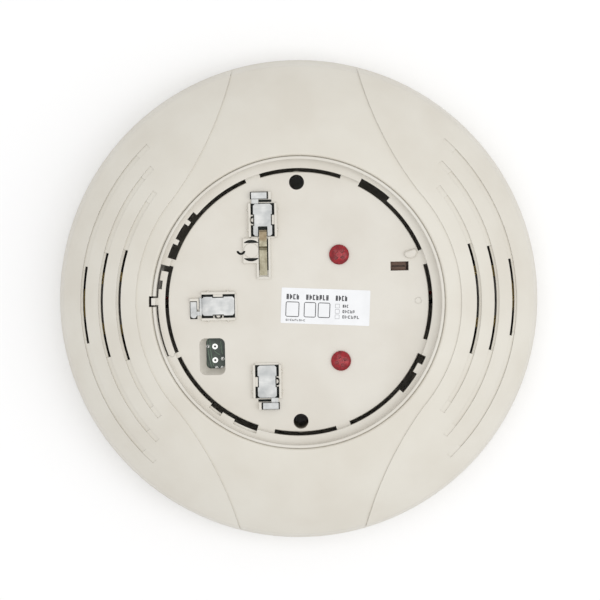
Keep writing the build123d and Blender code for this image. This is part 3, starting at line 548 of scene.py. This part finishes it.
def dome(builder, x, y, radius, height, z, rings=5, sides=20):
    """Adds a shallow blob with a flat bottom."""
    rows = []
    for ring in range(rings):
        angle = pi / 2 * ring / rings
        rows.append(
            [
                builder.verts.new(
                    (
                        x + radius * cos(angle) * cos(2 * pi * side / sides),
                        y + radius * cos(angle) * sin(2 * pi * side / sides),
                        z + height * sin(angle),
                    )
                )
                for side in range(sides)
            ]
        )
    top = builder.verts.new((x, y, z + height))
    for row in range(rings - 1):
        for side in range(sides):
            after = (side + 1) % sides
            under, over = rows[row], rows[row + 1]
            builder.faces.new((under[side], under[after], over[after], over[side]))
    for side in range(sides):
        builder.faces.new((rows[-1][side], rows[-1][(side + 1) % sides], top))
    builder.faces.new(rows[0][::-1])


def board_frame():
    """Centre between the two ring pads on the board, and the height of its face."""
    low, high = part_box("link_pads")
    board_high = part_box("main_pcb")[1]
    y = high.y - RING_PAD_R - HALF_PITCH
    return Vector((low.x + RING_PAD_INSET, y, board_high.z))


def board_traces(materials):
    """Copper tracks under the lacquer around the link pads."""
    origin = board_frame()
    tracks = (
        (((-1.9, 5.5), (-1.9, 0.5), (-0.6, -4.6)), 0.32),
        (((-2.8, 5.5), (-2.8, -0.5), (-1.2, -5.6)), 0.32),
        (((-3.7, 3.0), (-3.7, -1.5), (-2.2, -6.4)), 0.28),
        (((2.2, 4.4), (2.3, 1.0), (2.8, -0.4)), 0.35),
        (((-0.4, 1.1), (0.6, 0.0), (1.9, -0.6)), 0.3),
    )
    builder = bmesh.new()
    for points, width in tracks:
        route = smooth_route([(origin.x + x * MM, origin.y + y * MM) for x, y in points])
        ribbon(builder, route, width * MM, origin.z, origin.z + TRACK_T)
    as_piece("board_tracks", builder, "base", materials["track_green"])


def solder_joints(materials):
    """Solder on the small pads beside the link."""
    origin = board_frame()
    blobs = (
        (-2.5, 2.5, 0.55),
        (-4.05, 2.4, 0.5),
        (2.8, -2.1, 0.5),
        (0.5, -5.4, 0.45),
        (2.6, -5.4, 0.45),
    )
    builder = bmesh.new()
    for x, y, radius in blobs:
        x = origin.x + x * MM
        y = origin.y + y * MM
        dome(builder, x, y, radius * MM, BLOB_H, origin.z + PAD_T)
    as_piece("solder_joints", builder, "base", materials["solder"])


# ---- Stage -------------------------------------------------------------------------------------------------
CAMERA_DISTANCE = 1.4       # from the lens to the rear face
CAMERA_TILT = radians(1.7)  # towards the upper mounting hole
CAMERA_ROLL = radians(1.09)
OBJECT_SHARE = 0.795        # of the picture's width
AIM = Vector((0.48 * MM, -0.4 * MM, 0))
SENSOR = 36.0


def studio_floor():
    """Wide pale floor that the object lies on."""
    finish = Finish("floor_white")
    cloud = finish.noise(0.3, detail=2.0)
    light, shade = (0.93, 0.93, 0.93, 1), (0.92, 0.92, 0.925, 1)
    colour = finish.blend(finish.ramp(cloud, 0.3, 0.7), light, shade)
    finish.set(Base_Color=colour, Roughness=0.9, Specular_IOR_Level=0.1)
    builder = bmesh.new()
    bmesh.ops.create_grid(builder, x_segments=8, y_segments=8, size=6.0)
    bmesh.ops.translate(builder, verts=builder.verts, vec=(0, 0, cad_low.z - 0.05 * MM))
    mesh = bpy.data.meshes.new("floor")
    builder.to_mesh(mesh)
    builder.free()
    mesh.materials.append(finish.material)
    floor = bpy.data.objects.new("floor", mesh)
    bpy.context.scene.collection.objects.link(floor)


def soft_box(name, place, aim, size, power, tint=(1, 1, 1)):
    """Square studio light."""
    light = bpy.data.lights.new(name, "AREA")
    light.shape = "SQUARE"
    light.size = size
    light.energy = power
    light.color = tint
    lamp = bpy.data.objects.new(name, light)
    lamp.location = place
    lamp.rotation_mode = "QUATERNION"
    lamp.rotation_quaternion = (Vector(aim) - Vector(place)).to_track_quat("-Z", "Y")
    bpy.context.scene.collection.objects.link(lamp)


def studio_light():
    """Overhead panel, a key from the right and a little below, and an even surround."""
    middle = (0, 0, cad_high.z)
    soft_box("overhead", (0.0, 0.0, 1.9), middle, 1.8, 10.0)
    soft_box("key", (1.05, -0.2, 1.1), middle, 0.9, 3.4, (1.0, 0.995, 0.98))
    world = bpy.data.worlds.new("studio")
    world.use_nodes = True
    backdrop = world.node_tree.nodes["Background"]
    backdrop.inputs["Color"].default_value = (1.0, 1.0, 1.0, 1.0)
    backdrop.inputs["Strength"].default_value = 0.8
    bpy.context.scene.world = world


def camera():
    """Camera over the face, tilted and rolled a little, with the object filling its share."""
    data = bpy.data.cameras.new("camera")
    data.sensor_width = SENSOR
    width = cad_high.x - cad_low.x
    data.lens = SENSOR * CAMERA_DISTANCE * OBJECT_SHARE / width
    data.clip_start = 0.05
    data.clip_end = 20.0
    back = Vector((0, sin(CAMERA_TILT), cos(CAMERA_TILT)))
    up = Vector((sin(CAMERA_ROLL), cos(CAMERA_ROLL), 0))
    across = up.cross(back).normalized()
    turn = Matrix((across, back.cross(across), back)).transposed()
    eye = bpy.data.objects.new("camera", data)
    eye.matrix_world = Matrix.Translation(AIM + back * CAMERA_DISTANCE) @ turn.to_4x4()
    bpy.context.scene.collection.objects.link(eye)
    bpy.context.scene.camera = eye


def colour_management():
    view = bpy.context.scene.view_settings
    view.view_transform = "Standard"
    view.look = "None"


# ---- Assembly ------------------------------------------------------------------------------------------------
def build():
    materials = all_materials()
    dress_nodes(materials)
    materials["ink_dark"] = print_ink("ink_dark", linear(52, 52, 55), linear(84, 84, 88))
    materials["ink_grey"] = print_ink("ink_grey", linear(150, 150, 152), linear(176, 176, 178))
    materials["track_green"] = simple_moulding(
        "track_green", linear(104, 132, 108), linear(90, 116, 94), 0.35
    )
    label_print(materials)
    board_traces(materials)
    solder_joints(materials)
    studio_floor()
    studio_light()
    camera()
    colour_management()


build()
